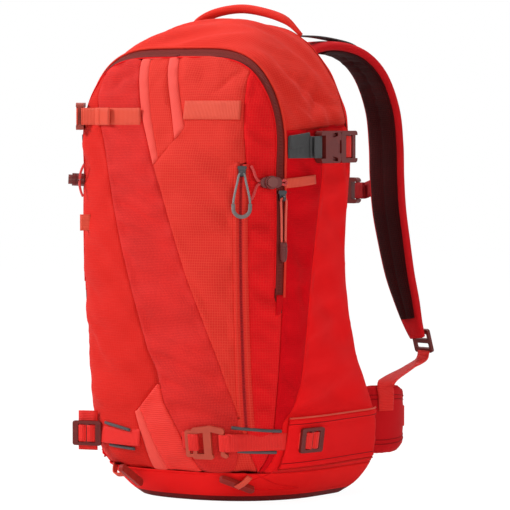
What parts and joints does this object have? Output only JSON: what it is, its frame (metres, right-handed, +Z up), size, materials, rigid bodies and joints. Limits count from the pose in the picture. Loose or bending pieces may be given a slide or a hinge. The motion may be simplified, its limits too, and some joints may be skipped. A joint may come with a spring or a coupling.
{
  "type": "ski backpack",
  "caption": "Ski backpack with an arched zip front, padded shoulder straps, hip belt, haul handle, side release buckles, cast hook, ski loops and tool holders.",
  "frame": {"origin": "on the floor under the middle of the bag, where its flat base rests", "axes": "+Z up, +Y towards the wearer's back, +X towards the wearer's right side"},
  "size_m": [0.3295, 0.4102, 0.5792],
  "materials": {
    "hood_ripstop": "matte ripstop weave",
    "front_ripstop": "matte ripstop weave",
    "front_fabric": "matte woven",
    "side_fabric": "matte woven",
    "base_fabric": "coated woven",
    "back_fabric": "matte woven",
    "back_mesh": "open mesh",
    "lining_mesh": "quilted mesh",
    "strap_fabric": "matte woven",
    "wing_fabric": "matte woven",
    "handle_fabric": "folded webbing",
    "webbing_coral": "ribbed webbing",
    "webbing_red": "ribbed webbing",
    "webbing_grey": "ribbed webbing",
    "zip_maroon": "coil zip",
    "zip_red": "coated zip",
    "cord_coral": "braided cord",
    "cord_grey": "braided cord",
    "cord_red": "elastic cord",
    "buckle_maroon": "moulded",
    "plunger_grey": "moulded",
    "grip_maroon": "moulded",
    "grip_grey": "moulded",
    "frame_plastic": "pressed sheet",
    "stay_aluminium": "drawn bar",
    "slider_metal": "die cast",
    "hook_anodised": "anodised"
  },
  "bodies": {
    "pack": {"boot": "base_fabric", "side_panel_right": "side_fabric", "side_panel_left": "side_fabric", "hood": "hood_ripstop", "front_lower_panel": "front_fabric", "back_panel": "back_fabric", "lumbar_pad": "back_mesh", "back_pads": "back_mesh", "frame_sheet": "frame_plastic", "frame_stay": "stay_aluminium", "arch_zip": "zip_maroon", "pocket_zip_lower": "zip_red", "shoulder_strap_right": "strap_fabric", "shoulder_strap_left": "strap_fabric", "strap_linings": "lining_mesh", "load_lifters": "webbing_grey", "lower_strap_webbings": "webbing_red", "strap_ladder_locks": "buckle_maroon", "sternum_webbing_right": "webbing_red", "sternum_buckle_female": "buckle_maroon", "belt_wing_right": "wing_fabric", "belt_wing_left": "wing_fabric", "belt_webbing_right": "webbing_red", "belt_buckle_female": "buckle_maroon", "side_webbings": "webbing_grey", "side_buckle_females": "buckle_maroon", "lower_ski_strap": "webbing_red", "ski_strap_rings": "buckle_maroon", "side_ski_loops": "webbing_red", "toggle_bars": "buckle_maroon", "toggle_tabs": "webbing_coral"},
    "front_flap": {"front_flap": "front_ripstop", "pocket_zip_upper": "zip_red", "upper_ski_strap": "webbing_coral", "ski_buckle_female": "buckle_maroon", "tool_locks": "buckle_maroon", "tool_bungee_right": "cord_red", "tool_bungee_left": "cord_red", "tool_tabs": "webbing_coral"},
    "arch_slider": {"arch_slider": "slider_metal"},
    "arch_pull": {"arch_pull_cord": "cord_coral", "arch_pull_end": "grip_maroon"},
    "pocket_slider": {"pocket_slider": "slider_metal"},
    "pocket_pull": {"pocket_pull_cord": "cord_grey", "pocket_pull_end": "grip_grey"},
    "side_male_right": {"side_buckle_male_right": "buckle_maroon", "side_tail_right": "webbing_red"},
    "side_male_left": {"side_buckle_male_left": "buckle_maroon", "side_tail_left": "webbing_red"},
    "ski_male": {"ski_buckle_male": "buckle_maroon", "ski_tail": "webbing_coral"},
    "sternum_male": {"sternum_buckle_male": "buckle_maroon", "sternum_webbing_left": "webbing_red"},
    "belt_male": {"belt_buckle_male": "buckle_maroon", "belt_webbing_left": "webbing_red"},
    "haul_handle": {"haul_handle": "handle_fabric"},
    "tool_plunger_right": {"tool_plunger_right": "plunger_grey"},
    "tool_plunger_left": {"tool_plunger_left": "plunger_grey"},
    "hook": {"g_hook": "hook_anodised", "hook_webbing": "webbing_red"}
  },
  "joints": [
    {"name": "flap_hinge", "type": "hinge", "parent": "pack", "child": "front_flap", "pos_m": [0, -0.109, 0.24], "axis": [1, 0, 0], "range_deg": [0, 90]},
    {"name": "arch_zip_slide", "type": "slide", "parent": "pack", "child": "arch_slider", "axis": [0, 0, -1], "range_m": [0, 0.106]},
    {"name": "arch_pull_swing", "type": "hinge", "parent": "arch_slider", "child": "arch_pull", "pos_m": [0.14724, -0.06139, 0.3531], "axis": [-0.4989, -0.8666, 0], "range_deg": [0, 90]},
    {"name": "pocket_zip_slide", "type": "slide", "parent": "front_flap", "child": "pocket_slider", "axis": [0, -0.03, -0.9996], "range_m": [0, 0.125]},
    {"name": "pocket_pull_swing", "type": "hinge", "parent": "pocket_slider", "child": "pocket_pull", "pos_m": [0.11308, -0.0951, 0.38127], "axis": [-0.8812, -0.4727, 0], "range_deg": [0, 100]},
    {"name": "side_buckle_right_release", "type": "slide", "parent": "pack", "child": "side_male_right", "axis": [0, 1, 0], "range_m": [0, 0.022]},
    {"name": "side_buckle_left_release", "type": "slide", "parent": "pack", "child": "side_male_left", "axis": [0, 1, 0], "range_m": [0, 0.022]},
    {"name": "ski_buckle_release", "type": "slide", "parent": "front_flap", "child": "ski_male", "axis": [-0.5736, 0.8191, 0], "range_m": [0, 0.02]},
    {"name": "sternum_buckle_release", "type": "slide", "parent": "pack", "child": "sternum_male", "axis": [-1, 0, 0], "range_m": [0, 0.02]},
    {"name": "belt_buckle_release", "type": "slide", "parent": "pack", "child": "belt_male", "axis": [-1, 0, 0], "range_m": [0, 0.022]},
    {"name": "handle_fold", "type": "hinge", "parent": "pack", "child": "haul_handle", "pos_m": [0, 0.074, 0.54176], "axis": [1, 0, 0], "range_deg": [-15, 18]},
    {"name": "tool_lock_right_press", "type": "slide", "parent": "front_flap", "child": "tool_plunger_right", "axis": [-0.7583, 0.65, -0.0498], "range_m": [0, 0.0035], "stiffness_N_per_m": 500},
    {"name": "tool_lock_left_press", "type": "slide", "parent": "front_flap", "child": "tool_plunger_left", "axis": [0.7583, 0.65, -0.0498], "range_m": [0, 0.0035], "stiffness_N_per_m": 500},
    {"name": "hook_lift", "type": "slide", "parent": "pack", "child": "hook", "axis": [0.0458, -0.1886, 0.981], "range_m": [0, 0.03]}
  ]
}
